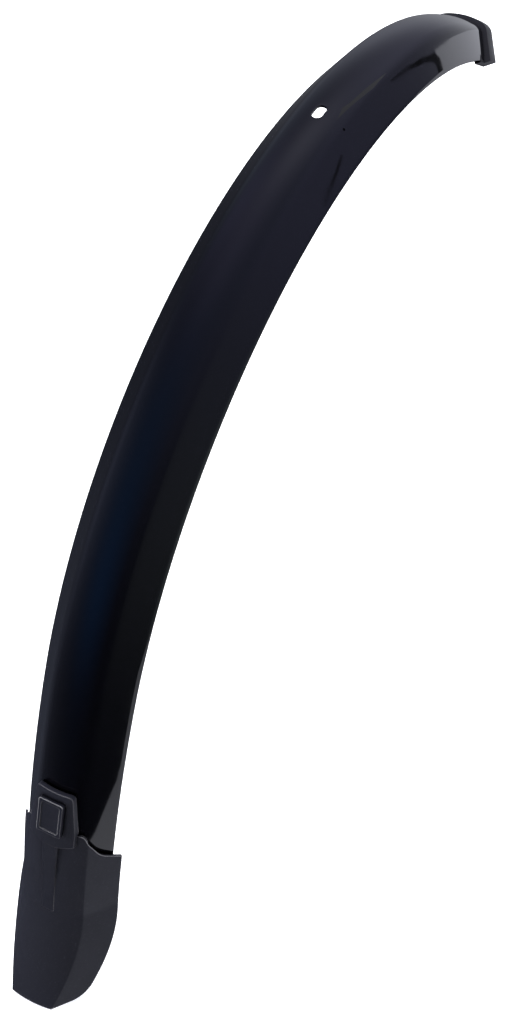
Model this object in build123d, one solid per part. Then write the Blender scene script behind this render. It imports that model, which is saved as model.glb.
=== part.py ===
"""Front bicycle mudguard: glossy blade, slip-on front end cap, moulded mud flap and its push-in button.

Frame: the origin is the middle of the fork-crown slot on the blade's outer crown. +Z points out of the
wheel along the bolt, +X forward along the blade and +Y to the rider's left. All sizes are millimetres.
"""

from build123d import *
import os
from math import cos, degrees, radians, sin

# Blade: one channel of sheet, a crowned top panel with two splayed flanks
crown_radius = 379.0
blade_width = 65.0
top_width = 32.0
crown_drop = 3.0
flank_depth = 23.0
blade_wall = 1.8
shoulder_radius = 12.0
front_angle = 40.2
front_slant = 48.5
tail_angle = 62.75
tail_radius = 810.0
tail_length = 136.0

# Fork-crown slot and the small cable hole beside it
slot_length = 13.0
slot_width = 7.0
cable_hole = 2.0
cable_hole_side = 18.3
cable_hole_behind = 2.5

# Front end cap: a U-shaped edge trim pushed over the slanted end
cap_proud = 3.2
cap_grip = 6.5
cap_inner_grip = 12.0
cap_web = 3.2

# Mud flap: base shell over the tail, half-way down its flare and at its end
flap_wall = 1.8
flap_clearance = 0.3
flap_crease_radius = 3.0
wing_station = 92.0
fold_station = 175.0
shell_top_width = 47.0
shell_drop = 6.8
shell_width = 74.8
shell_depth = 28.4
flare_middle = 45.0
flare_middle_rise = 9.4
flare_top_width = 44.2
flare_drop = 5.8
flare_width = 73.0
flare_depth = 27.9
flare_length = 78.5
flare_rise = 19.6
end_top_width = 31.4
end_drop = 1.6
end_width = 58.6
end_depth = 22.8
end_corner_radius = 8.0

# Mud flap: the curved front edge of the wings, and the hems under the flanks
wing_shoulder_station = 98.5
wing_shoulder_width = 41.6
wing_shoulder_radius = 4.0
wing_bend_station = 119.0
wing_bend_width = 58.0
wing_bend_radius = 12.0
wing_corner_station = 125.0
hem_width = 4.0
hem_setback = 6.0

# Mud flap: raised pad that carries the button, and the spine below it
pad_clearance = 0.8
pad_rise = 4.6
pad_station = 65.4
pad_top_width = 26.2
pad_corner_radius = 3.0
pad_wide_station = 96.0
pad_width = 33.0
pad_end_station = 107.0
spine_station = 110.5
spine_width = 10.6
spine_tip_width = 8.4
spine_tip_rise = 0.2
spine_draft = 0.8

# Push-in button with two snap legs
button_station = 85.3
button_length = 27.4
button_width = 17.7
button_proud = 2.6
button_seat = 1.4
button_corner_radius = 1.6
button_edge_chamfer = 0.8
button_rim = 2.4
button_dish = 0.5
shank_length = 16.0
shank_width = 9.0
leg_thickness = 2.2
barb_reach = 1.0
barb_length = 4.0
fit_clearance = 0.25

LATERAL = (0, 1, 0)
REARWARD_TURN = (0, -1, 0)
axle = Vector(0, 0, -crown_radius)


def outward(angle):
    """Radial direction at an angle behind the slot."""
    return Vector(-sin(radians(angle)), 0, cos(radians(angle)))


def forward(angle):
    """Direction along the blade, towards its front, at an angle behind the slot."""
    return Vector(cos(radians(angle)), 0, sin(radians(angle)))


tail_centre = axle + outward(tail_angle) * (crown_radius - tail_radius)


def arc_station(angle):
    """Section plane of the main arc: x to the left, y outward, origin on the outer crown."""
    return Plane(axle + outward(angle) * crown_radius, x_dir=LATERAL, z_dir=forward(angle))


def tail_station(distance):
    """Section plane at a distance along the tail arc."""
    angle = tail_angle + degrees(distance / tail_radius)
    return Plane(tail_centre + outward(angle) * tail_radius, x_dir=LATERAL, z_dir=forward(angle))


def tail_sweep(section, start, end):
    """Section turned about the tail's centre, from one station to another."""
    turn = degrees((end - start) / tail_radius)
    return revolve(tail_station(start) * section, Axis(tail_centre, REARWARD_TURN), turn)


def tail_plan(outline, low, high):
    """Plan outline at the button (x right, y forward), extruded between two heights over the crown."""
    section = tail_station(button_station)
    plan = Plane(section.origin + section.y_dir * low, x_dir=-section.x_dir, z_dir=section.y_dir)
    return extrude(plan * outline, high - low)


def ahead(station):
    """Plan coordinate of a station on the tail, measured forward from the button."""
    return button_station - station


def skin(rise, width_at_top, drop, width, depth, radius):
    """Outer outline of a crowned channel: flank, crown and flank, with rounded shoulders."""
    shoulder_x, shoulder_y = width_at_top / 2, rise - drop
    edge_x, edge_y = width / 2, rise - depth
    left_flank = Line((-edge_x, edge_y), (-shoulder_x, shoulder_y))
    crown = ThreePointArc((-shoulder_x, shoulder_y), (0, rise), (shoulder_x, shoulder_y))
    right_flank = Line((shoulder_x, shoulder_y), (edge_x, edge_y))
    outline = Curve() + [left_flank, crown, right_flank]
    shoulders = outline.vertices().filter_by(lambda v: abs(abs(v.X) - shoulder_x) < 1e-6)
    return fillet(shoulders, radius)


def layer(outline, thickness, side):
    """Face between an open outline and its copy at a distance on one side."""
    return make_face(offset(outline, amount=thickness, side=side, closed=True).edges())


def channel(rise, width_at_top, drop, width, depth, radius, wall):
    """Section of a crowned channel: its outer outline, thickened inwards."""
    return layer(skin(rise, width_at_top, drop, width, depth, radius), wall, Side.RIGHT)


# Blade
blade_skin = skin(0, top_width, crown_drop, blade_width, flank_depth, shoulder_radius)
blade_section = layer(blade_skin, blade_wall, Side.RIGHT)
main_arc = revolve(
    arc_station(-front_angle) * blade_section, Axis(axle, REARWARD_TURN), front_angle + tail_angle
)
blade = main_arc + tail_sweep(blade_section, 0, tail_length)

end_slant = radians(front_slant)
end_normal = forward(-front_angle) * cos(end_slant) - outward(-front_angle) * sin(end_slant)
end_origin = axle + outward(-front_angle) * crown_radius
end_outline = Rectangle(2 * blade_width, 6 * flank_depth)


def end_slab(start, finish):
    """Slab parallel to the slanted front end, between two distances ahead of it."""
    plane = Plane(end_origin + end_normal * start, x_dir=LATERAL, z_dir=end_normal)
    return extrude(plane * end_outline, finish - start)


blade -= end_slab(0, 2 * flank_depth)

slot = extrude(SlotOverall(slot_length, slot_width), 2 * flank_depth, both=True)
blade -= slot

flank_slope = (flank_depth - crown_drop) / (blade_width / 2 - top_width / 2)
cable_hole_depth = crown_drop + (cable_hole_side - top_width / 2) * flank_slope
flank_normal = Vector(0, -flank_slope, 1).normalized()
cable_angle = degrees(cable_hole_behind / crown_radius)
cable_middle = axle + outward(cable_angle) * (crown_radius - cable_hole_depth)
cable_plane = Plane(cable_middle - Vector(0, cable_hole_side, 0), z_dir=flank_normal)
blade -= extrude(cable_plane * Circle(cable_hole / 2), 2 * blade_wall, both=True)

shank_hole = Rectangle(shank_width + 2 * fit_clearance, shank_length + 2 * fit_clearance)
blade -= tail_plan(shank_hole, -2 * flank_depth, 2 * flank_depth)

# Front end cap
cap_section = offset(blade_section, amount=cap_proud, kind=Kind.INTERSECTION)
lip_width = blade_width + 4 * cap_proud
lip_depth = flank_depth + 2 * cap_proud * flank_slope
long_skin = skin(0, top_width, crown_drop, lip_width, lip_depth, shoulder_radius)
outer_side = layer(long_skin, 2 * cap_proud, Side.LEFT)
cap_middle = arc_station(degrees(flank_depth / 2 / crown_radius) - front_angle)


def cap_leg(section, grip):
    """Straight part of the cap with one section, from the grip behind the blade's end to the web ahead."""
    return extrude(cap_middle * section, 3 * flank_depth, both=True) & end_slab(-grip, cap_web)


end_cap = cap_leg(cap_section, cap_grip) + cap_leg(cap_section - outer_side, cap_inner_grip) - blade

# Mud flap: base shell
flap_rise = flap_clearance + flap_wall
fold_plane = tail_station(fold_station)
shell_section = channel(
    flap_rise, shell_top_width, shell_drop, shell_width, shell_depth, flap_crease_radius, flap_wall
)
flare_section = channel(
    flap_rise + flare_middle_rise, flare_top_width, flare_drop, flare_width, flare_depth,
    flap_crease_radius, flap_wall,
)
end_section = channel(
    flap_rise + flare_rise, end_top_width, end_drop, end_width, end_depth, flap_crease_radius, flap_wall
)


def flare_plane(distance):
    """Section plane at a distance straight on from the fold."""
    return Plane(fold_plane.origin - fold_plane.z_dir * distance, x_dir=LATERAL, z_dir=fold_plane.z_dir)


wings = tail_sweep(shell_section, wing_station, fold_station)
flare_middle_section = flare_plane(flare_middle) * flare_section
flare = loft([fold_plane * shell_section, flare_middle_section, flare_plane(flare_length) * end_section])
end_face = flare.faces().sort_by(Axis(fold_plane.origin, -fold_plane.z_dir))[-1]
end_corners = end_face.edges().sort_by(lambda edge: abs(edge.center().Y))[-2:]
flare = fillet(end_corners, end_corner_radius)

wing_front = [
    (wing_shoulder_width / 2, ahead(wing_shoulder_station)),
    (wing_bend_width / 2, ahead(wing_bend_station)),
    (shell_width / 2, ahead(wing_corner_station)),
]
run_out = 2 * shell_width
corner_slope = (wing_front[2][1] - wing_front[1][1]) / (wing_front[2][0] - wing_front[1][0])
far_corner = (run_out, wing_front[2][1] + corner_slope * (run_out - shell_width / 2))
right_edge = FilletPolyline(
    (0, wing_front[0][1]), wing_front[0], wing_front[1], far_corner,
    radius=[wing_shoulder_radius, wing_bend_radius],
)
beyond = Polyline(far_corner, (run_out, run_out), (0, run_out), right_edge @ 0)
right_cut = make_face(right_edge.edges() + beyond.edges())
wing_cut = right_cut + mirror(right_cut, Plane.YZ)
wings -= tail_plan(wing_cut, -2 * shell_depth, shell_depth)
flap = wings + flare

# Mud flap: hems turned in under the flanks


def hem(side):
    """Lip along the lower edge of a flank, square to it."""
    edge = Vector(side * shell_width / 2, flap_rise - shell_depth)
    along = Vector(side * (shell_width - shell_top_width) / 2, shell_drop - shell_depth).normalized()
    inward = Vector(along.Y * side, -along.X * side)
    corner = edge - along * flap_wall
    reach = inward * (flap_wall + hem_width)
    lip = Polyline(edge, edge + reach, corner + reach, corner, close=True)
    return tail_sweep(make_face(lip.edges()), wing_corner_station + hem_setback, fold_station)


flap += [hem(-1), hem(1)]

# Mud flap: pad and spine
pad_right = [
    (pad_top_width / 2, ahead(pad_station)),
    (pad_width / 2, ahead(pad_wide_station)),
    (pad_width / 2, ahead(pad_end_station)),
    (spine_width / 2, ahead(spine_station)),
]
pad_outline = Polyline(*pad_right, *[(-x, y) for x, y in reversed(pad_right)], close=True)
pad_plan = make_face(pad_outline.edges())
pad_corners = pad_plan.vertices().group_by(Axis.Y)[-1]
pad_plan = fillet(pad_corners, pad_corner_radius)
pad_band = layer(blade_skin, pad_rise, Side.LEFT) - layer(blade_skin, pad_clearance, Side.LEFT)
pad_layer = extrude(tail_station(button_station) * pad_band, pad_width, both=True)
pad = pad_layer & tail_plan(pad_plan - shank_hole, -flank_depth, flank_depth)
seat_height = pad_rise - button_seat
seat_outline = RectangleRounded(
    button_width + 2 * fit_clearance,
    button_length + 2 * fit_clearance,
    button_corner_radius + fit_clearance,
)
pad -= tail_plan(seat_outline, seat_height, flank_depth)
flap += pad


def spine_section(width, top):
    """Ridge with drafted sides, rooted in the base shell."""
    root = flap_rise - flap_wall / 2
    half = width / 2
    foot = half + spine_draft
    return make_face(Polyline((-half, top), (half, top), (foot, root), (-foot, root), close=True).edges())


spine_root = tail_station(pad_end_station) * spine_section(spine_width, pad_rise)
spine_tip = fold_plane * spine_section(spine_tip_width, flap_rise + spine_tip_rise)
flap += loft([spine_root, spine_tip], ruled=True)

# Push-in button
face_height = pad_rise + button_proud
head_outline = RectangleRounded(button_width, button_length, button_corner_radius)
head = tail_plan(head_outline, seat_height, face_height)
up = tail_station(button_station).y_dir
head = chamfer(head.edges().group_by(Axis((0, 0, 0), up))[-1], button_edge_chamfer)
dish = RectangleRounded(button_width - 2 * button_rim, button_length - 2 * button_rim, button_corner_radius)
head -= tail_plan(dish, face_height - button_dish, face_height)
button = head + tail_plan(Rectangle(shank_width, shank_length), 0, seat_height)

barb_top = -blade_wall - 2 * fit_clearance
leg_end = barb_top - barb_length
leg_middle = (shank_length - leg_thickness) / 2
button_plane = tail_station(button_station)
for way in (-1, 1):
    button += tail_plan(Pos(0, way * leg_middle) * Rectangle(shank_width, leg_thickness), leg_end, 0)
    face = way * shank_length / 2
    tip = way * (shank_length / 2 + fit_clearance + barb_reach)
    barb = make_face(Polyline((face, barb_top), (tip, barb_top), (face, leg_end), close=True).edges())
    side_plane = Plane(button_plane.origin, x_dir=button_plane.z_dir, z_dir=(0, -1, 0))
    button += extrude(side_plane * barb, shank_width / 2, both=True)

os.makedirs("parts", exist_ok=True)
for name, solid in (
    ("blade", blade),
    ("front_end_cap", end_cap),
    ("mud_flap", flap),
    ("flap_button", button),
):
    export_step(solid, f"parts/{name}.step")
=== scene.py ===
"""Front bicycle mudguard in its studio: glossy blade, front end cap, mud flap and push-in button."""

import bpy
from math import asin, atan2, cos, degrees, radians, sin, sqrt
from mathutils import Matrix, Vector


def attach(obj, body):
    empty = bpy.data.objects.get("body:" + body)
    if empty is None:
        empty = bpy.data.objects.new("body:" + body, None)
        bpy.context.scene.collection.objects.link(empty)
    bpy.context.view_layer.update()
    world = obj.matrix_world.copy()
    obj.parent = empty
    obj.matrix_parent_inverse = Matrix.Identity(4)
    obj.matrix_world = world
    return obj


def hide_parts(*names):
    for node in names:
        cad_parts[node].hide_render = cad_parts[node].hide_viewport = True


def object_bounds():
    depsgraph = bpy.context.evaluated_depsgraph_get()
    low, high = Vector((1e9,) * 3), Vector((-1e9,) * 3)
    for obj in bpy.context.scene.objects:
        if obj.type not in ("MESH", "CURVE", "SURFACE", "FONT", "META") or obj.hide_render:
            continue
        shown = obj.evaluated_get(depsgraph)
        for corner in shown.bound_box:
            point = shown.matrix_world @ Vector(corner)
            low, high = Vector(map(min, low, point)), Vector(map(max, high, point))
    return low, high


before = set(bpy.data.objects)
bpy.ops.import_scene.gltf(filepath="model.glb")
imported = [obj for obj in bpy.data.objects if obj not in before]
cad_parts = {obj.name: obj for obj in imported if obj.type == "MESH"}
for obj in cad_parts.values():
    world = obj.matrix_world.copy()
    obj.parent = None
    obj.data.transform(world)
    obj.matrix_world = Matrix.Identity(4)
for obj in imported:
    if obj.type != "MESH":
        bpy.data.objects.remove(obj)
cad_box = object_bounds()

# Blade
# The guard itself: one long strip of black plastic sheet, formed to a crowned top with two splayed flanks.
# It is drawn as one section, swept round the wheel's axle and then along the straighter tail, and polished.
# It hangs from the fork crown by the slot, with a small hole for a cable beside it.
MM = 0.001
CROWN_RADIUS = 379 * MM
BLADE_WIDTH = 65 * MM
TOP_WIDTH = 32 * MM
CROWN_DROP = 3 * MM
FLANK_DEPTH = 23 * MM
SHEET = 1.8 * MM
SHOULDER_RADIUS = 12 * MM
BLADE_EDGE = 0.25 * MM
TAIL_RADIUS = 810 * MM
TAIL_LENGTH = 136 * MM

# angles in degrees: from the slot back to the tail and on to the front end, the spare cut off there, and its slant
TAIL_ANGLE = 62.75
FRONT_ANGLE = 40.2
FRONT_SPARE = 2
FRONT_SLANT = 48.5

# steps of the mesh: flank, shoulder and crown of the section, then along the sweep
SECTION_STEPS = (8, 10, 16)
ARC_STEPS = 96
TAIL_STEPS = 40
FRONT_STEPS = 64

# tolerances, and the directions of the frame, with the slot at its origin
NEAR = 0.1 * MM
TOUCHING = 0.01 * MM
LENGTHWAYS = Vector((1, 0, 0))
SIDEWAYS = Vector((0, 1, 0))
AXLE = Vector((0, 0, -CROWN_RADIUS))


def outward(angle):
    """Away from the axle, at an angle behind the slot."""
    return Vector((-sin(radians(angle)), 0, cos(radians(angle))))


def forward(angle):
    """Along the blade towards its front, at an angle behind the slot."""
    return Vector((cos(radians(angle)), 0, sin(radians(angle))))


def start_point(name):
    """A new piece that is one point at the origin, in edit mode."""
    bpy.ops.object.select_all(action="DESELECT")
    bpy.ops.mesh.primitive_plane_add(size=MM)
    piece = bpy.context.object
    piece.name = name
    bpy.ops.object.mode_set(mode="EDIT")
    bpy.ops.mesh.merge(type="CENTER")
    return piece


def extrude(move):
    """In edit mode, draws what is selected on by a move."""
    bpy.ops.mesh.extrude_region_move(TRANSFORM_OT_translate={"value": move})


def draw_section(name, top_width, drop, width, depth, radius, steps):
    """A new piece that is the outline of a crowned channel across the origin: flank, crown and flank.

    The round shoulder touches both the flank and the crown. Steps are those of a flank, a shoulder and the crown.
    """
    flank_steps, shoulder_steps, crown_steps = steps
    crown_radius = ((top_width / 2) ** 2 + drop ** 2) / (2 * drop)
    crown_middle = Vector((0, 0, -crown_radius))
    corner = Vector((0, top_width / 2, -drop))
    edge = Vector((0, width / 2, -depth))
    flank_way = (edge - corner).normalized()
    flank_normal = Vector((0, -flank_way.z, flank_way.y))
    reach = corner - flank_normal * radius - crown_middle
    along = reach.dot(flank_way)
    slide = -along - sqrt(along ** 2 - reach.length_squared + (crown_radius - radius) ** 2)
    left_middle = crown_middle + reach + flank_way * slide
    right_middle = Vector((0, -left_middle.y, left_middle.z))
    flank_top = left_middle + flank_normal * radius
    crown_turn = atan2(left_middle.y, left_middle.z - crown_middle.z)
    shoulder_turn = atan2(flank_normal.y, flank_normal.z) - crown_turn
    up_flank = (flank_top - edge) / flank_steps
    down_flank = Vector((0, up_flank.y, -up_flank.z))

    piece = start_point(name)
    bpy.ops.transform.translate(value=edge)
    for step in range(flank_steps):
        extrude(up_flank)
    bpy.ops.mesh.spin(steps=shoulder_steps, angle=shoulder_turn, center=left_middle, axis=-LENGTHWAYS)
    bpy.ops.mesh.spin(steps=crown_steps, angle=2 * crown_turn, center=crown_middle, axis=-LENGTHWAYS)
    bpy.ops.mesh.spin(steps=shoulder_steps, angle=shoulder_turn, center=right_middle, axis=-LENGTHWAYS)
    for step in range(flank_steps):
        extrude(down_flank)
    return piece


blade_outline = (TOP_WIDTH, CROWN_DROP, BLADE_WIDTH, FLANK_DEPTH, SHOULDER_RADIUS, SECTION_STEPS)
blade = draw_section("guard_blade", *blade_outline)


def pick(piece, wanted):
    """In edit mode, selects the points of a piece whose place passes the test."""
    bpy.ops.mesh.select_mode(type="VERT")
    bpy.ops.mesh.select_all(action="DESELECT")
    bpy.ops.object.mode_set(mode="OBJECT")
    for vertex in piece.data.vertices:
        vertex.select = wanted(vertex.co)
    bpy.ops.object.mode_set(mode="EDIT")


def pick_all():
    """In edit mode, selects all of the piece."""
    bpy.ops.mesh.select_mode(type="VERT")
    bpy.ops.mesh.select_all(action="SELECT")


# main arc rearwards from the slot, the tail beyond it, and the arc forwards from the slot
pick_all()
bpy.ops.mesh.spin(steps=ARC_STEPS, angle=radians(TAIL_ANGLE), center=AXLE, axis=SIDEWAYS)
tail_start = AXLE + outward(TAIL_ANGLE) * CROWN_RADIUS
tail_centre = tail_start - outward(TAIL_ANGLE) * TAIL_RADIUS
pick(blade, lambda co: abs((co - tail_start).dot(forward(TAIL_ANGLE))) < NEAR)
bpy.ops.mesh.spin(steps=TAIL_STEPS, angle=TAIL_LENGTH / TAIL_RADIUS, center=tail_centre, axis=SIDEWAYS)
pick(blade, lambda co: abs(co.x) < TOUCHING)
bpy.ops.mesh.spin(steps=FRONT_STEPS, angle=radians(FRONT_ANGLE + FRONT_SPARE), center=AXLE, axis=-SIDEWAYS)

# slanted front end, then the sheet's thickness
end_out = outward(-FRONT_ANGLE)
end_origin = AXLE + end_out * CROWN_RADIUS
end_normal = forward(-FRONT_ANGLE) * cos(radians(FRONT_SLANT)) - end_out * sin(radians(FRONT_SLANT))
well_ahead = CROWN_RADIUS / 3
pick(blade, lambda co: co.x > well_ahead)
bpy.ops.mesh.bisect(plane_co=end_origin, plane_no=end_normal, clear_outer=True)


def face_outwards(piece):
    """Merges doubles, leaves edit mode and turns the faces of an open shell away from the wheel."""
    pick_all()
    bpy.ops.mesh.remove_doubles(threshold=TOUCHING)
    bpy.ops.mesh.normals_make_consistent(inside=False)
    bpy.ops.object.mode_set(mode="OBJECT")
    crown_face = min(piece.data.polygons, key=lambda face: abs(face.center.y))
    if crown_face.normal.dot(crown_face.center - AXLE) < 0:
        piece.data.flip_normals()


def choose(piece):
    """Makes a piece the only one selected, and the active one."""
    bpy.ops.object.select_all(action="DESELECT")
    piece.select_set(True)
    bpy.context.view_layer.objects.active = piece


def apply_modifier(piece, kind, **settings):
    """Adds a modifier with its settings and applies it."""
    modifier = piece.modifiers.new(kind.lower(), kind)
    for setting, value in settings.items():
        setattr(modifier, setting, value)
    choose(piece)
    bpy.ops.object.modifier_apply(modifier=modifier.name)


def thicken(piece, wall, outwards=False):
    """Gives a sheet its wall, inwards or outwards from its skin."""
    apply_modifier(piece, "SOLIDIFY", thickness=wall, offset=1 if outwards else -1, use_even_offset=True)


face_outwards(blade)
thicken(blade, SHEET)


def round_bar(name, width, length, sides):
    """A round cutting bar, upright on the origin."""
    bpy.ops.object.select_all(action="DESELECT")
    bpy.ops.mesh.primitive_cylinder_add(vertices=sides, radius=width / 2, depth=length)
    bar = bpy.context.object
    bar.name = name
    return bar


def cut_away(piece, shape):
    """Takes a cutting shape out of a piece and removes the shape."""
    apply_modifier(piece, "BOOLEAN", operation="DIFFERENCE", solver="EXACT", object=shape)
    bpy.data.objects.remove(shape)


def round_edges(piece, width, segments, angle):
    """Rounds the edges of a piece that turn by more than an angle."""
    apply_modifier(
        piece, "BEVEL", width=width, segments=segments, limit_method="ANGLE", angle_limit=radians(angle)
    )


def smooth(piece, angle):
    """Shades a piece smooth, apart from edges that turn by more than an angle."""
    choose(piece)
    bpy.ops.object.shade_smooth_by_angle(angle=radians(angle))


# fork-crown slot, cut by a bar that is drawn out lengthways
SLOT_LENGTH = 13 * MM
SLOT_WIDTH = 7 * MM
SLOT_BAR = 20 * MM
SLOT_SIDES = 64
slot_bar = round_bar("slot_bar", SLOT_WIDTH, SLOT_BAR, SLOT_SIDES)
bpy.ops.object.mode_set(mode="EDIT")
for way in (-1, 1):
    pick(slot_bar, lambda co: way * co.x > TOUCHING)
    bpy.ops.transform.translate(value=(way * (SLOT_LENGTH - SLOT_WIDTH) / 2, 0, 0))
bpy.ops.object.mode_set(mode="OBJECT")
cut_away(blade, slot_bar)
round_edges(blade, BLADE_EDGE, segments=2, angle=50)

# cable hole in the right flank
CABLE_HOLE = 2 * MM
CABLE_SIDE = 18.3 * MM
CABLE_BEHIND = 2.5 * MM
CABLE_BAR = 8 * MM
CABLE_SIDES = 32
BLADE_SMOOTH = 40
flank_slope = (FLANK_DEPTH - CROWN_DROP) / (BLADE_WIDTH / 2 - TOP_WIDTH / 2)
cable_angle = degrees(CABLE_BEHIND / CROWN_RADIUS)
cable_depth = CROWN_DROP + (CABLE_SIDE - TOP_WIDTH / 2) * flank_slope
cable_place = AXLE + outward(cable_angle) * (CROWN_RADIUS - cable_depth) - SIDEWAYS * CABLE_SIDE
right_normal = Vector((0, -flank_slope, 1)).normalized()
cable_turn = right_normal.to_track_quat("Z", "Y").to_matrix()
cable_bar = round_bar("cable_bar", CABLE_HOLE, CABLE_BAR, CABLE_SIDES)
cable_bar.data.transform(Matrix.Translation(cable_place) @ cable_turn.to_4x4())
cut_away(blade, cable_bar)
smooth(blade, BLADE_SMOOTH)


def new_material(name):
    """A new node material and its Principled shader."""
    material = bpy.data.materials.new(name)
    material.use_nodes = True
    return material, material.node_tree.nodes["Principled BSDF"]


def node(tree, kind, feeds, **settings):
    """A new shader node with its settings, whose inputs are fed by sockets or set to values."""
    made = tree.nodes.new(kind)
    for setting, value in settings.items():
        setattr(made, setting, value)
    for entry, feed in feeds.items():
        if isinstance(feed, bpy.types.NodeSocket):
            tree.links.new(feed, made.inputs[entry])
        else:
            made.inputs[entry].default_value = feed
    return made


# surface of moulded plastic, in Object coordinates, which every plastic of the guard shares
COLOUR = "NodeSocketColor"
NUMBER = "NodeSocketFloat"
DIRECTION = "NodeSocketVector"
SURFACE_INPUTS = [
    ("Tone", COLOUR), ("Rubbed Tone", COLOUR), ("Least Roughness", NUMBER), ("Most Roughness", NUMBER),
    ("Grain Scale", NUMBER), ("Rub Amount", NUMBER), ("Edge Highlight", COLOUR), ("Edge Amount", NUMBER),
    ("Lit Side", DIRECTION),
]
SURFACE_OUTPUTS = [("Color", COLOUR), ("Roughness", NUMBER), ("Height", NUMBER)]
surface = bpy.data.node_groups.new("moulded_surface", "ShaderNodeTree")
for in_out, sockets in (("INPUT", SURFACE_INPUTS), ("OUTPUT", SURFACE_OUTPUTS)):
    for socket, kind in sockets:
        surface.interface.new_socket(socket, in_out=in_out, socket_type=kind)
given = node(surface, "NodeGroupInput", {}).outputs
object_place = node(surface, "ShaderNodeTexCoord", {}).outputs["Object"]


def remap(value, low, high, least=0, most=1):
    """A value of the surface, carried from one span to another."""
    feeds = {"Value": value, "From Min": low, "From Max": high, "To Min": least, "To Max": most}
    return node(surface, "ShaderNodeMapRange", feeds).outputs["Result"]


def between(share, first, second):
    """A colour of the surface, between two others."""
    feeds = {"Factor": share, "A": first, "B": second}
    return node(surface, "ShaderNodeMix", feeds, data_type="RGBA").outputs["Result"]


def agreement(first, second):
    """How far two directions on the surface agree: 1 where they are the same, 0 where they are square."""
    return node(surface, "ShaderNodeVectorMath", {0: first, 1: second}, operation="DOT_PRODUCT").outputs["Value"]


# cloudy roughness
CLOUD_SCALE = 55
CLOUD_DETAIL = 4
CLOUD_SPAN = (0.3, 0.7)
clouds = node(surface, "ShaderNodeTexNoise", {"Vector": object_place, "Scale": CLOUD_SCALE, "Detail": CLOUD_DETAIL})
roughness = remap(clouds.outputs["Fac"], *CLOUD_SPAN, given["Least Roughness"], given["Most Roughness"])

# rubbed streaks, drawn out by their scale
STREAK_TURN = (0, radians(-35), radians(20))
STREAK_SCALE = (90, 900, 900)
STREAK_DETAIL = 3
STREAK_SPAN = (0.58, 0.85)
streak_place = node(
    surface, "ShaderNodeMapping", {"Vector": object_place, "Rotation": STREAK_TURN, "Scale": STREAK_SCALE}
).outputs["Vector"]
streaks = node(surface, "ShaderNodeTexNoise", {"Vector": streak_place, "Scale": 1, "Detail": STREAK_DETAIL})
rubbed = remap(streaks.outputs["Fac"], *STREAK_SPAN, 0, given["Rub Amount"])
tone = between(rubbed, given["Tone"], given["Rubbed Tone"])

# outer edges, with a painted highlight on the side the light falls from and painted shade on the other side
EDGE_RADIUS = 0.9 * MM
EDGE_SPAN = (0.995, 0.9)
OPEN_REACH = 3.5 * MM
OPEN_SPAN = (0.8, 0.97)
SIDE_SPAN = (-0.2, 0.2)
# painted shade on the edges turned away from the light
EDGE_SHADE = (0.001, 0.001, 0.0015, 1)
SAMPLES = 8
normal = node(surface, "ShaderNodeNewGeometry", {}).outputs["Normal"]
rounded_normal = node(surface, "ShaderNodeBevel", {"Radius": EDGE_RADIUS}, samples=SAMPLES).outputs["Normal"]
openness = node(surface, "ShaderNodeAmbientOcclusion", {"Distance": OPEN_REACH}, samples=SAMPLES).outputs["AO"]
outer = remap(openness, *OPEN_SPAN, 0, given["Edge Amount"])
outer_edge = remap(agreement(normal, rounded_normal), *EDGE_SPAN, 0, outer)
lit_side = remap(agreement(normal, given["Lit Side"]), *SIDE_SPAN)
edge_light_and_shade = between(lit_side, EDGE_SHADE, given["Edge Highlight"])
edge_painted_tone = between(outer_edge, tone, edge_light_and_shade)

# painted shade in creases and where parts meet, darker where the surface is closed in
CREASE_SPAN = (0.5, 0.93)
CREASE_LEAST = 0.1
crease_shade = remap(openness, *CREASE_SPAN, CREASE_LEAST)
crease_shaded_tone = node(surface, "ShaderNodeVectorMath", {"Vector": edge_painted_tone, "Scale": crease_shade}, operation="SCALE")

# fine grain
GRAIN_DETAIL = 2
grain_feeds = {"Vector": object_place, "Scale": given["Grain Scale"], "Detail": GRAIN_DETAIL}
grain = node(surface, "ShaderNodeTexNoise", grain_feeds)
surface_feeds = {"Color": crease_shaded_tone.outputs["Vector"], "Roughness": roughness, "Height": grain.outputs["Fac"]}
node(surface, "NodeGroupOutput", surface_feeds)


def plastic(name, mirror, relief, relief_depth, look):
    """A material of moulded plastic: how strongly it mirrors, its grain's relief, and the look of its surface."""
    material, shader = new_material(name)
    tree = material.node_tree
    skin = node(tree, "ShaderNodeGroup", look, node_tree=surface).outputs
    bump = node(tree, "ShaderNodeBump", {"Strength": relief, "Distance": relief_depth, "Height": skin["Height"]})
    shader.inputs["Specular IOR Level"].default_value = mirror
    tree.links.new(skin["Color"], shader.inputs["Base Color"])
    tree.links.new(skin["Roughness"], shader.inputs["Roughness"])
    tree.links.new(bump.outputs["Normal"], shader.inputs["Normal"])
    return material


def dress(piece, material):
    """Gives a piece its one material."""
    piece.data.materials.clear()
    piece.data.materials.append(material)


gloss_look = {
    "Tone": (0.0008, 0.0008, 0.0014, 1),
    "Rubbed Tone": (0.003, 0.003, 0.005, 1),
    "Least Roughness": 0.02,
    "Most Roughness": 0.05,
    "Grain Scale": 220,
    "Rub Amount": 0.4,
    # edges: painted highlight of this tone on the lit side given below, painted shade on the other
    "Edge Highlight": (0.01, 0.01, 0.013, 1),
    "Edge Amount": 0.5,
    "Lit Side": (0, 0, 1),
}
dress(blade, plastic("blade_gloss", mirror=0.5, relief=0.03, relief_depth=0.05 * MM, look=gloss_look))
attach(blade, "root")
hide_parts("blade")

# Front end cap
# A U-shaped trim of satin black plastic, pushed over the slanted front end to cover its cut edge.
# Its outer lip is short and its inner one longer; it is drawn straight, cut to a slab, and grooved by the blade.
CAP_PROUD = 3.2 * MM
CAP_GRIP = 6.5 * MM
CAP_INNER_GRIP = 12 * MM
CAP_WEB = 3.2 * MM
CAP_LENGTH = 140 * MM
CAP_EDGE = 0.7 * MM
LIP_SPARE = 4 * CAP_PROUD
SATIN_SMOOTH = 35
cap_angle = degrees(FLANK_DEPTH / 2 / CROWN_RADIUS) - FRONT_ANGLE


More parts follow.
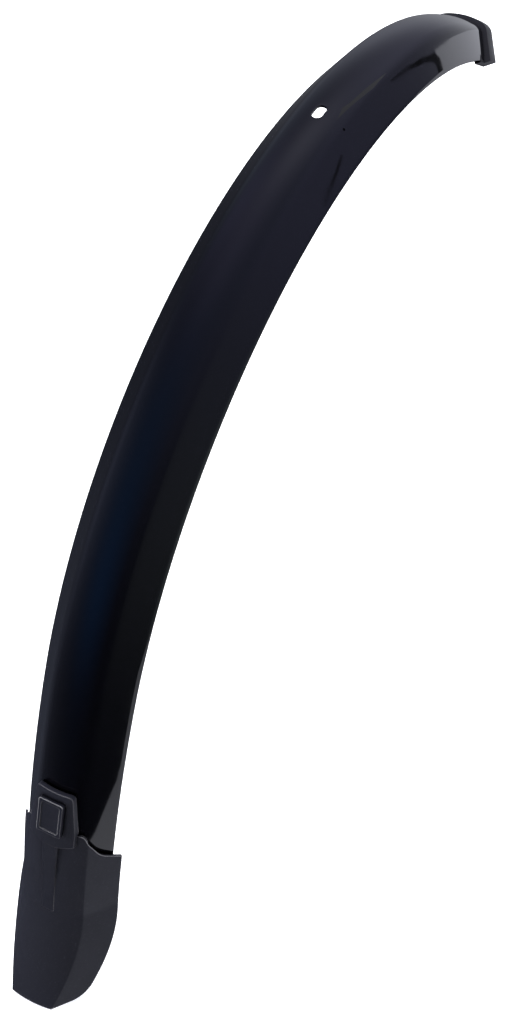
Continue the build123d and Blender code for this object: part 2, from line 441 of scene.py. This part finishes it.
def frame_at(place, ahead_way, out_way):
    """Matrix that carries a piece drawn at the origin, x forward and z outward, to a place on the guard."""
    turn = Matrix((ahead_way, SIDEWAYS, out_way)).transposed()
    return Matrix.Translation(place) @ turn.to_4x4()


def arc_frame(angle):
    """Frame on the outer crown of the main arc."""
    return frame_at(AXLE + outward(angle) * CROWN_RADIUS, forward(angle), outward(angle))


def raised_sheet(name, rise, length, overhang=0):
    """A straight length of the blade's outline, raised off its skin, with its lower edges run on."""
    sheet = draw_section(name, *blade_outline)
    edge_way = Vector((0, BLADE_WIDTH / 2 - TOP_WIDTH / 2, CROWN_DROP - FLANK_DEPTH)).normalized()
    for side in (-1, 1):
        pick(sheet, lambda co: abs(co.y - side * BLADE_WIDTH / 2) < TOUCHING)
        bpy.ops.transform.translate(value=(0, side * edge_way.y * overhang, edge_way.z * overhang))
    pick_all()
    bpy.ops.transform.translate(value=(-length / 2, 0, 0))
    extrude((length, 0, 0))
    face_outwards(sheet)
    moves = [vertex.normal * rise for vertex in sheet.data.vertices]
    for vertex, move in zip(sheet.data.vertices, moves):
        vertex.co += move
    return sheet


def trim(piece, place, normal):
    """Cuts off and closes what lies beyond a plane."""
    choose(piece)
    bpy.ops.object.mode_set(mode="EDIT")
    pick_all()
    bpy.ops.mesh.bisect(plane_co=place, plane_no=normal, clear_outer=True, use_fill=True)
    bpy.ops.object.mode_set(mode="OBJECT")


cap = raised_sheet("end_cap", CAP_PROUD, CAP_LENGTH, CAP_PROUD)
thicken(cap, 2 * CAP_PROUD + SHEET)
cap.data.transform(arc_frame(cap_angle))
trim(cap, end_origin + end_normal * CAP_WEB, end_normal)
trim(cap, end_origin - end_normal * CAP_INNER_GRIP, -end_normal)

# what is cut away behind the short outer lip, then the groove for the blade
lip_cut = raised_sheet("lip_cut", -SHEET / 2, CAP_LENGTH, LIP_SPARE)
thicken(lip_cut, LIP_SPARE, outwards=True)
lip_cut.data.transform(arc_frame(cap_angle))
trim(lip_cut, end_origin - end_normal * CAP_GRIP, end_normal)
cut_away(cap, lip_cut)
groove_cut = blade.copy()
groove_cut.data = blade.data.copy()
bpy.context.scene.collection.objects.link(groove_cut)
cut_away(cap, groove_cut)
round_edges(cap, CAP_EDGE, segments=3, angle=40)
smooth(cap, SATIN_SMOOTH)

trim_look = {
    "Tone": (0.014, 0.014, 0.018, 1),
    "Rubbed Tone": (0.022, 0.022, 0.027, 1),
    "Least Roughness": 0.28,
    "Most Roughness": 0.38,
    "Grain Scale": 2600,
    "Rub Amount": 0.5,
    # edges: painted highlight of this tone on the lit side given below, painted shade on the other
    "Edge Highlight": (0.03, 0.03, 0.035, 1),
    "Edge Amount": 0.5,
    "Lit Side": (0, -0.5, 0.86),
}
dress(cap, plastic("trim_satin", mirror=0.015, relief=0.25, relief_depth=0.05 * MM, look=trim_look))
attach(cap, "root")
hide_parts("front_end_cap")

# Mud flap
# One satin black moulding over the tail: a creased shell with curved wings, a fold and a flare that narrows below.
# A raised pad at its upper end carries the button, and a spine runs down from the pad to the fold.
# Hems are turned in under the flanks.
FLAP_WALL = 1.8 * MM
FLAP_RISE = 2.1 * MM
FLAP_EDGE = 0.45 * MM
CREASE_RADIUS = 3 * MM
WING_START = 98.5 * MM
FOLD = 175 * MM
BUTTON_STATION = 85.3 * MM
FLARE_LENGTH = 78.5 * MM
FLARE_MIDDLE = 45 * MM / FLARE_LENGTH
END_CORNER = 8 * MM
FLAP_STEPS = (18, 5, 48)
SHELL_STEPS = 28
FLARE_STEPS = 28

# rise, top width, drop, width and depth in millimetres, above the fold, partway down the flare and at its end
SHELL = [0, 47, 6.8, 74.8, 28.4]
FLARE_MID = [9.4, 44.2, 5.8, 73, 27.9]
FLARE_END = [19.6, 31.4, 1.6, 58.6, 22.8]

# front edge of the wings in millimetres, each point as distance from the middle and station on the tail:
# level, then a small bend into a steep run, and a large bend into a gentle run
LEVEL_STATION = 98.5
SMALL_BEND = (18.09, 102.5)
SMALL_BEND_RADIUS = 4
STEEP_FROM = 21.8
STEEP_FOOT = (20.8, 98.5)
STEEP_SLOPE = 2.5
LARGE_BEND_FROM = 27.69
LARGE_BEND = (38.83, 111.28)
LARGE_BEND_RADIUS = 12
GENTLE_FROM = 31.87
GENTLE_FOOT = (29, 119)
GENTLE_SLOPE = 0.714


def tail_frame(distance):
    """Frame on the outer crown of the tail, at a distance along it."""
    angle = TAIL_ANGLE + degrees(distance / TAIL_RADIUS)
    return frame_at(tail_centre + outward(angle) * TAIL_RADIUS, forward(angle), outward(angle))


def wing_front(side):
    """Station of the wings' S-shaped front edge at a distance from the middle, in millimetres."""
    if side < SMALL_BEND[0]:
        return LEVEL_STATION
    if side < STEEP_FROM:
        return SMALL_BEND[1] - sqrt(SMALL_BEND_RADIUS ** 2 - (side - SMALL_BEND[0]) ** 2)
    if side < LARGE_BEND_FROM:
        return STEEP_FOOT[1] + (side - STEEP_FOOT[0]) * STEEP_SLOPE
    if side < GENTLE_FROM:
        return LARGE_BEND[1] + sqrt(LARGE_BEND_RADIUS ** 2 - (side - LARGE_BEND[0]) ** 2)
    return GENTLE_FOOT[1] + (side - GENTLE_FOOT[0]) * GENTLE_SLOPE


def channel_height(side, top_width, drop, width, depth):
    """Height of a crowned channel's outline at a distance from the middle: 0 on the crown, less below it."""
    if side < top_width / 2:
        radius = ((top_width / 2) ** 2 + drop ** 2) / (2 * drop)
        return sqrt(radius ** 2 - side ** 2) - radius
    return -drop - (side - top_width / 2) * (depth - drop) / (width / 2 - top_width / 2)


def flare_sizes(share):
    """Rise, top width, drop, width and depth of the flare at a share of its length."""
    middle = share * (1 - share) / (FLARE_MIDDLE * (1 - FLARE_MIDDLE))
    end = share * (share - FLARE_MIDDLE) / (1 - FLARE_MIDDLE)
    start = 1 - middle - end
    return [a * start + b * middle + c * end for a, b, c in zip(SHELL, FLARE_MID, FLARE_END)]


shell_outline = SHELL[1:]
flap = draw_section("rear_flap", *[size * MM for size in shell_outline], CREASE_RADIUS, FLAP_STEPS)
bpy.ops.object.mode_set(mode="OBJECT")
flap.data.transform(tail_frame(WING_START) @ Matrix.Translation((0, 0, FLAP_RISE)))
bpy.ops.object.mode_set(mode="EDIT")
pick_all()
bpy.ops.mesh.spin(steps=SHELL_STEPS, angle=(FOLD - WING_START) / TAIL_RADIUS, center=tail_centre, axis=SIDEWAYS)
fold_frame = tail_frame(FOLD)
fold_place = fold_frame.translation
fold_ahead = fold_frame.col[0].xyz
fold_out = fold_frame.col[2].xyz
pick(flap, lambda co: abs((co - fold_place).dot(fold_ahead)) < NEAR)
for ring in range(FLARE_STEPS):
    extrude(fold_ahead * (-FLARE_LENGTH / FLARE_STEPS))
face_outwards(flap)

# front edge of the wings, then the flare and its rounded lower corners
top_width, drop, width, depth = shell_outline
for vertex in flap.data.vertices:
    side = abs(vertex.co.y) / MM
    behind_fold = (fold_place - vertex.co).dot(fold_ahead)
    if behind_fold < NEAR:
        from_centre = vertex.co - tail_centre
        length = sqrt(from_centre.x ** 2 + from_centre.z ** 2)
        station = (atan2(-from_centre.x, from_centre.z) - radians(TAIL_ANGLE)) * TAIL_RADIUS
        front = BUTTON_STATION + TAIL_RADIUS * asin((wing_front(side) * MM - BUTTON_STATION) / length)
        station = front + (station - WING_START) * (FOLD - front) / (FOLD - WING_START)
        way = outward(TAIL_ANGLE + degrees(station / TAIL_RADIUS))
        vertex.co = tail_centre + way * length + SIDEWAYS * vertex.co.y
    else:
        flank_share = (side - top_width / 2) / (width / 2 - top_width / 2)
        from_edge = (1 - flank_share) * (depth - drop) * MM
        short = 0
        if from_edge < END_CORNER:
            short = END_CORNER - sqrt(END_CORNER ** 2 - (END_CORNER - max(from_edge, 0)) ** 2)
        distance = behind_fold * (1 - short / FLARE_LENGTH)
        lift, *flare_outline = flare_sizes(distance / FLARE_LENGTH)
        flare_top, _, flare_width, _ = flare_outline
        new_side = side * flare_top / top_width
        if flank_share > 0:
            new_side = flare_top / 2 + flank_share * (flare_width - flare_top) / 2
        height = (vertex.co - fold_place).dot(fold_out) - FLAP_RISE
        off_outline = height - channel_height(side, *shell_outline) * MM
        new_height = FLAP_RISE + (lift + channel_height(new_side, *flare_outline)) * MM + off_outline
        new_y = new_side * MM * (1 if vertex.co.y > 0 else -1)
        vertex.co = fold_place - fold_ahead * distance + fold_out * new_height + SIDEWAYS * new_y

# hems
HEM_REACH = 5.8 * MM
HEM_START = 131 * MM
HEM_SLACK = 0.5 * MM
RIM_SLACK = 0.02 * MM
hem_middle = outward(TAIL_ANGLE + degrees((HEM_START + FOLD) / 2 / TAIL_RADIUS))
hem_first = tail_frame(HEM_START)
hem_slope = Vector((width / 2 - top_width / 2, drop - depth)).normalized()


def pick_edges(piece, wanted):
    """In edit mode, selects the edges of a piece whose two ends pass the test."""
    bpy.ops.mesh.select_mode(type="EDGE")
    bpy.ops.mesh.select_all(action="DESELECT")
    bpy.ops.object.mode_set(mode="OBJECT")
    points = piece.data.vertices
    for edge in piece.data.edges:
        first, second = edge.vertices
        edge.select = wanted(points[first].co, points[second].co)
    bpy.ops.object.mode_set(mode="EDIT")


def on_hem(co, side):
    """Whether a point is on the lower rim of one flank, from where the hem starts to the fold."""
    at_rim = side * co.y > width / 2 * MM - RIM_SLACK
    past_start = (co - hem_first.translation).dot(hem_first.col[0].xyz) < HEM_SLACK
    above_fold = (co - fold_place).dot(fold_ahead) > -NEAR
    return at_rim and past_start and above_fold


bpy.ops.object.mode_set(mode="EDIT")
for side in (-1, 1):
    pick_edges(flap, lambda first, second: on_hem(first, side) and on_hem(second, side))
    inward = SIDEWAYS * (hem_slope.y * side) - hem_middle * hem_slope.x
    extrude(inward * HEM_REACH)
face_outwards(flap)
thicken(flap, FLAP_WALL)
round_edges(flap, FLAP_EDGE, segments=3, angle=50)

# pad, cut from a raised sheet by its plan, which is in millimetres from the button
PAD_CLEARANCE = 0.8 * MM
PAD_RISE = 4.6 * MM
PAD_LENGTH = 60 * MM
PAD_EDGE = 0.7 * MM
PAD_CORNER = Vector((16.9, 10.41))
PAD_CORNER_RADIUS = 3
PAD_CORNER_TURN = 83.7
PAD_CORNER_STEPS = 5
PAD_SIDE = [(-10.7, 16.5), (-21.7, 16.5), (-25.2, 5.3)]
pad = raised_sheet("pad", PAD_RISE, PAD_LENGTH)
thicken(pad, PAD_RISE - PAD_CLEARANCE)


def flat_sheet(name, corners):
    """A new piece that is one flat face through its corners, in edit mode."""
    sheet = start_point(name)
    bpy.ops.transform.translate(value=corners[0])
    for here, there in zip(corners, corners[1:]):
        extrude([to - start for start, to in zip(here, there)])
    bpy.ops.mesh.select_all(action="SELECT")
    bpy.ops.mesh.edge_face_add()
    return sheet


corner_arm = Vector((PAD_CORNER_RADIUS, 0))
round_corner = [
    PAD_CORNER + Matrix.Rotation(radians(PAD_CORNER_TURN * step / PAD_CORNER_STEPS), 2) @ corner_arm
    for step in range(PAD_CORNER_STEPS + 1)
]
half_plan = [(point.x, point.y) for point in round_corner] + PAD_SIDE
whole_plan = half_plan + [(x, -y) for x, y in reversed(half_plan)]
pad_plan = flat_sheet("pad_plan", [(x * MM, y * MM, -PAD_LENGTH / 2) for x, y in whole_plan])
extrude((0, 0, PAD_LENGTH))
bpy.ops.mesh.select_all(action="SELECT")
bpy.ops.mesh.normals_make_consistent(inside=False)
bpy.ops.object.mode_set(mode="OBJECT")
apply_modifier(pad, "BOOLEAN", operation="INTERSECT", solver="EXACT", object=pad_plan)
bpy.data.objects.remove(pad_plan)
round_edges(pad, PAD_EDGE, segments=3, angle=50)

# the button's seat in the pad, and the gap for its shank in the pad and the blade
SEAT = 3.2 * MM
FIT = 0.25 * MM
BUTTON_LENGTH = 27.4 * MM
BUTTON_WIDTH = 17.7 * MM
BUTTON_CORNER = 1.6 * MM
SHANK_LENGTH = 16 * MM
SHANK_WIDTH = 9 * MM
CORNER_STEPS = 5
CUT_TOP = 20 * MM
CUT_FOOT = -15 * MM
button_frame = tail_frame(BUTTON_STATION)


def block(name, length, width, low, high, corner=0):
    """A block centred on the origin, from a low to a high level, with rounded upright corners."""
    bpy.ops.object.select_all(action="DESELECT")
    bpy.ops.mesh.primitive_cube_add(size=1)
    piece = bpy.context.object
    piece.name = name
    bpy.ops.object.mode_set(mode="EDIT")
    bpy.ops.transform.resize(value=(length, width, high - low))
    bpy.ops.transform.translate(value=(0, 0, (low + high) / 2))
    if corner:
        pick_edges(piece, lambda first, second: abs(first.z - second.z) > (high - low) / 2)
        bpy.ops.mesh.bevel(offset=corner, segments=CORNER_STEPS, affect="EDGES")
    bpy.ops.object.mode_set(mode="OBJECT")
    return piece


seat = block("seat", BUTTON_LENGTH + 2 * FIT, BUTTON_WIDTH + 2 * FIT, SEAT, CUT_TOP, BUTTON_CORNER + FIT)
cut_away(pad, seat)
for piece in (pad, blade):
    shank_gap = block("shank_gap", SHANK_LENGTH + 2 * FIT, SHANK_WIDTH + 2 * FIT, CUT_FOOT, CUT_TOP)
    if piece == blade:
        shank_gap.data.transform(button_frame)
    cut_away(piece, shank_gap)
smooth(blade, BLADE_SMOOTH)
pad.data.transform(button_frame)

# spine, from the pad to the fold: a unit block whose corners are moved to their places
SPINE_START = 107 * MM
SPINE_HEAD_HALF = 5.3 * MM
SPINE_HEAD_RISE = PAD_RISE + 0.15 * MM
SPINE_TIP_HALF = 4.2 * MM
SPINE_TIP_RISE = FLAP_RISE + 0.2 * MM
SPINE_DRAFT = 0.8 * MM
SPINE_EDGE = 0.6 * MM
SLIVER = 0.02 * MM
spine_head = tail_frame(SPINE_START)
spine_foot = FLAP_RISE - FLAP_WALL / 2
spine = block("spine", 1, 1, 0, 1)
for vertex in spine.data.vertices:
    at_head = vertex.co.x > 0
    half = SPINE_HEAD_HALF if at_head else SPINE_TIP_HALF
    height = SPINE_HEAD_RISE if at_head else SPINE_TIP_RISE
    if vertex.co.z < 0.5:
        half, height = half + SPINE_DRAFT, spine_foot
    corner = Vector((0, half if vertex.co.y > 0 else -half, height))
    vertex.co = (spine_head if at_head else fold_frame) @ corner
round_edges(spine, SPINE_EDGE, segments=3, angle=40)


def add_on(piece, extra):
    """Joins another closed shape onto a piece as one body, and merges the slivers at the seam."""
    apply_modifier(piece, "BOOLEAN", operation="UNION", solver="EXACT", object=extra)
    bpy.data.objects.remove(extra)
    bpy.ops.object.mode_set(mode="EDIT")
    pick_all()
    bpy.ops.mesh.remove_doubles(threshold=SLIVER)
    bpy.ops.object.mode_set(mode="OBJECT")


add_on(flap, pad)
add_on(flap, spine)
smooth(flap, SATIN_SMOOTH)

flap_look = {
    "Tone": (0.0115, 0.012, 0.0175, 1),
    "Rubbed Tone": (0.03, 0.03, 0.04, 1),
    "Least Roughness": 0.3,
    "Most Roughness": 0.42,
    "Grain Scale": 2200,
    "Rub Amount": 0.6,
    # edges: painted highlight of this tone on the lit side given below, painted shade on the other
    "Edge Highlight": (0.22, 0.22, 0.24, 1),
    "Edge Amount": 0.95,
    "Lit Side": (0.29, -0.6, 0.74),
}
dress(flap, plastic("flap_satin", mirror=0.09, relief=0.3, relief_depth=0.06 * MM, look=flap_look))
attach(flap, "root")
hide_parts("mud_flap")

# Flap button
# A push-in rectangular button of satin black plastic with a dished face, which pins the flap to the blade.
# Its shank goes through the pad and the sheet, and two legs with barbs snap out under the blade.
FACE = 7.2 * MM
RIM = 2.4 * MM
DISH = 0.5 * MM
DISH_CUT_TOP = FACE + 5 * MM
BUTTON_EDGE = 0.7 * MM
LEG = 2.2 * MM
LEG_END = -6.3 * MM
BARB_TOP = -2.3 * MM
BARB_REACH = 1.25 * MM
BARB_POINT = 0.02 * MM
button = block("push_button", BUTTON_LENGTH, BUTTON_WIDTH, SEAT, FACE, BUTTON_CORNER)
dish = block("dish", BUTTON_LENGTH - 2 * RIM, BUTTON_WIDTH - 2 * RIM, FACE - DISH, DISH_CUT_TOP, BUTTON_CORNER)
cut_away(button, dish)
round_edges(button, BUTTON_EDGE, segments=3, angle=60)
add_on(button, block("shank", SHANK_LENGTH, SHANK_WIDTH, -FIT, SEAT + FIT))
for way in (-1, 1):
    leg = block("leg", LEG, SHANK_WIDTH, LEG_END, 0)
    leg.data.transform(Matrix.Translation((way * (SHANK_LENGTH - LEG) / 2, 0, 0)))
    add_on(button, leg)
    barb = block("barb", 2 * BARB_REACH, SHANK_WIDTH, LEG_END, BARB_TOP)
    for vertex in barb.data.vertices:
        if vertex.co.z < (LEG_END + BARB_TOP) / 2:
            vertex.co.x = min(vertex.co.x, BARB_POINT)
        vertex.co.x = way * (SHANK_LENGTH / 2 + vertex.co.x)
    if way < 0:
        barb.data.flip_normals()
    add_on(button, barb)
button.data.transform(button_frame)
smooth(button, SATIN_SMOOTH)

button_look = {
    "Tone": (0.0105, 0.011, 0.0165, 1),
    "Rubbed Tone": (0.025, 0.025, 0.034, 1),
    "Least Roughness": 0.26,
    "Most Roughness": 0.36,
    "Grain Scale": 2600,
    "Rub Amount": 0.5,
    # edges: painted highlight of this tone on the lit side given below, painted shade on the other
    "Edge Highlight": (0.5, 0.5, 0.53, 1),
    "Edge Amount": 1,
    "Lit Side": (0.34, 0.35, 0.87),
}
dress(button, plastic("button_satin", mirror=0.12, relief=0.2, relief_depth=0.05 * MM, look=button_look))
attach(button, "root")
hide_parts("flap_button")

# Studio
# A plain white floor and white air, with soft lamps all round that only the gloss mirrors.
# The blade also mirrors two white sheets on the floor, and ahead of it a screen's lit edge, a dark gap and a dark seam.
# Two more lamps, overhead and from the left, light only what is matt.
FLOOR_GAP = 0.5 * MM
FLOOR_REACH = 40
FLOOR_TONE = (0.9, 0.9, 0.9, 1)
FLOOR_GLOW = 0.6
PAPER_LIGHT = (0.95, 0.97, 1.08, 1)
PAPER_ROUGHNESS = 0.9
BLACK = (0, 0, 0, 1)
WHITE = (1, 1, 1, 1)
lowest = cad_box[0].z


def studio_sheet(name, corners, tone, glow):
    """A flat sheet through its corners that shines evenly."""
    sheet = flat_sheet(name, corners)
    bpy.ops.object.mode_set(mode="OBJECT")
    paper, shader = new_material(name)
    shader.inputs["Base Color"].default_value = tone
    shader.inputs["Roughness"].default_value = PAPER_ROUGHNESS
    shader.inputs["Emission Color"].default_value = PAPER_LIGHT
    shader.inputs["Emission Strength"].default_value = glow
    dress(sheet, paper)
    return sheet


floor_plan = [
    (-FLOOR_REACH, -FLOOR_REACH), (FLOOR_REACH, -FLOOR_REACH), (FLOOR_REACH, FLOOR_REACH), (-FLOOR_REACH, FLOOR_REACH),
]
floor_corners = [(x, y, lowest - FLOOR_GAP) for x, y in floor_plan]
floor = studio_sheet("studio_floor", floor_corners, FLOOR_TONE, FLOOR_GLOW)
floor.visible_glossy = False

# plans of the white sheets on the floor
right_plan = [
    (-0.62, -0.70), (-0.542, -0.453), (-0.514, -0.366), (-0.49, -0.284), (-0.469, -0.187),
    (-0.45, -0.02), (0.5, -0.02), (0.5, -0.7),
]
front_plan = [(1.15, 0.05), (1.44, -0.167), (4.1, -1.44), (3.8, -2.2), (0.6, -1.2), (0.6, 0.05)]

# outlines of what stands upright ahead of the guard
SCREEN_AHEAD = 2.0
streak_outline = [
    (-1.1, 0.74), (-0.96, 1.08), (-0.7, 1.45), (-0.45, 1.75), (-0.2, 2.0),
    (0.06, 1.76), (-0.22, 1.48), (-0.46, 1.18), (-0.65, 0.91), (-0.8, 0.62),
]
gap_outline = [
    (-0.79, -0.2), (-0.76, -0.2), (-0.78, -0.172), (-0.85, -0.107), (-1.014, 0.028),
    (-1.216, 0.176), (-1.212, 0.182), (-1.01, 0.034), (-0.841, -0.1), (-0.77, -0.163),
    (-0.712, -0.212), (-0.69, -0.25), (-0.745, -0.245),
]
seam_outline = [
    (-2.239, 0.702), (-2.491, 0.797), (-2.803, 0.909), (-3.118, 1.01),
    (-3.087, 0.994), (-2.766, 0.887), (-2.453, 0.774), (-2.217, 0.688),
]
sheet_height = lowest - FLOOR_GAP / 2
mirrored = [
    ("right_sheet", [(x, y, sheet_height) for x, y in right_plan], 0.9),
    ("front_sheet", [(x, y, sheet_height) for x, y in front_plan], 0.95),
    ("screen_edge", [(SCREEN_AHEAD, y, z) for y, z in streak_outline], 0.6),
    ("dark_gap", [(SCREEN_AHEAD, y, z) for y, z in gap_outline], 0.03),
    ("dark_seam", [(SCREEN_AHEAD, y, z) for y, z in seam_outline], 0.06),
]
for name, corners, glow in mirrored:
    sheet = studio_sheet(name, corners, BLACK, glow)
    sheet.visible_camera = False
    sheet.visible_diffuse = False
    sheet.visible_shadow = False

# soft lamps in the gloss, each with its turn and height in degrees, how tight it is, and its colour
LAMPS = [
    (-84, -15, 19.9, (0.71, 0.80, 0.80)),
    (-1, -24, 19.0, (0.73, 0.75, 0.80)),
    (-7, 28, 5.9, (0.33, 0.33, 0.46)),
    (21, 52, 30.0, (0.29, 0.29, 0.34)),
    (28, -1, 20.5, (0.27, 0.28, 0.33)),
    (110, 12, 9.0, (0.24, 0.27, 0.41)),
    (-69, 63, 2.4, (0.20, 0.22, 0.36)),
    (52, 16, 21.6, (0.19, 0.22, 0.29)),
    (62, 68, 15.0, (0.20, 0.19, 0.31)),
    (63, 41, 26.6, (0.17, 0.17, 0.30)),
    (-60, 20, 9.6, (0.14, 0.14, 0.24)),
    (110, -40, 5.1, (0.10, 0.11, 0.15)),
    (164, 17, 17.7, (0.01, 0.07, 0.22)),
    (152, 44, 8.4, (0.00, 0.06, 0.18)),
]
world = bpy.data.worlds.new("studio_air")
bpy.context.scene.world = world
world.use_nodes = True
air = world.node_tree
direction = node(air, "ShaderNodeTexCoord", {}).outputs["Generated"]
lamp_glow = (0, 0, 0)
for turn, height, tightness, colour in LAMPS:
    aim = Matrix.Rotation(radians(turn), 3, "Z") @ Matrix.Rotation(radians(-height), 3, "Y") @ LENGTHWAYS
    facing = node(air, "ShaderNodeVectorMath", {0: direction, 1: aim}, operation="DOT_PRODUCT").outputs["Value"]
    falloff = node(air, "ShaderNodeMath", {0: facing, 1: tightness, 2: -tightness}, operation="MULTIPLY_ADD")
    glow = node(air, "ShaderNodeMath", {0: falloff.outputs["Value"]}, operation="EXPONENT")
    glow_feeds = {0: glow.outputs["Value"], 1: colour, 2: lamp_glow}
    lamp_glow = node(air, "ShaderNodeVectorMath", glow_feeds, operation="MULTIPLY_ADD").outputs["Vector"]

# air: soft lamps to the gloss, even white to matt surfaces, and full white to the camera
MATT_AIR = 0.8
matt_air = air.nodes["Background"]
matt_air.inputs["Color"].default_value = WHITE
matt_air.inputs["Strength"].default_value = MATT_AIR
lamp_air = node(air, "ShaderNodeBackground", {"Color": lamp_glow})
white_air = node(air, "ShaderNodeBackground", {"Color": WHITE})
ray = node(air, "ShaderNodeLightPath", {}).outputs
lit_feeds = {"Fac": ray["Is Glossy Ray"], 1: matt_air.outputs["Background"], 2: lamp_air.outputs["Background"]}
lit = node(air, "ShaderNodeMixShader", lit_feeds)
seen_feeds = {"Fac": ray["Is Camera Ray"], 1: lit.outputs["Shader"], 2: white_air.outputs["Background"]}
seen = node(air, "ShaderNodeMixShader", seen_feeds)
air.links.new(seen.outputs["Shader"], air.nodes["World Output"].inputs["Surface"])

# lamps for matt surfaces only
MATT_LAMPS = [("key_lamp", (0.3, 0.33, 0.89), 3.5), ("side_lamp", (-0.5, 0.85, 0.2), 2.8)]
MATT_LAMP_SPREAD = radians(20)
for name, aim, strength in MATT_LAMPS:
    sun = bpy.data.lights.new(name, "SUN")
    sun.energy = strength
    sun.angle = MATT_LAMP_SPREAD
    sun.specular_factor = 0
    lamp = bpy.data.objects.new(name, sun)
    bpy.context.scene.collection.objects.link(lamp)
    lamp.rotation_euler = Vector(aim).to_track_quat("Z", "Y").to_euler()
    lamp.visible_glossy = False

# camera, as it was recovered from the photograph
CAMERA_PLACE = (-0.738402, -0.369213, 0.645426)
CAMERA_TURN = (38.3402, 1.6414, -62.1367)
lens = bpy.data.cameras.new("photo_camera")
lens.lens = 57.918
lens.sensor_width = 36
camera = bpy.data.objects.new("photo_camera", lens)
bpy.context.scene.collection.objects.link(camera)
camera.location = CAMERA_PLACE
camera.rotation_euler = [radians(turn) for turn in CAMERA_TURN]
bpy.context.scene.camera = camera
bpy.context.scene.view_settings.view_transform = "Standard"
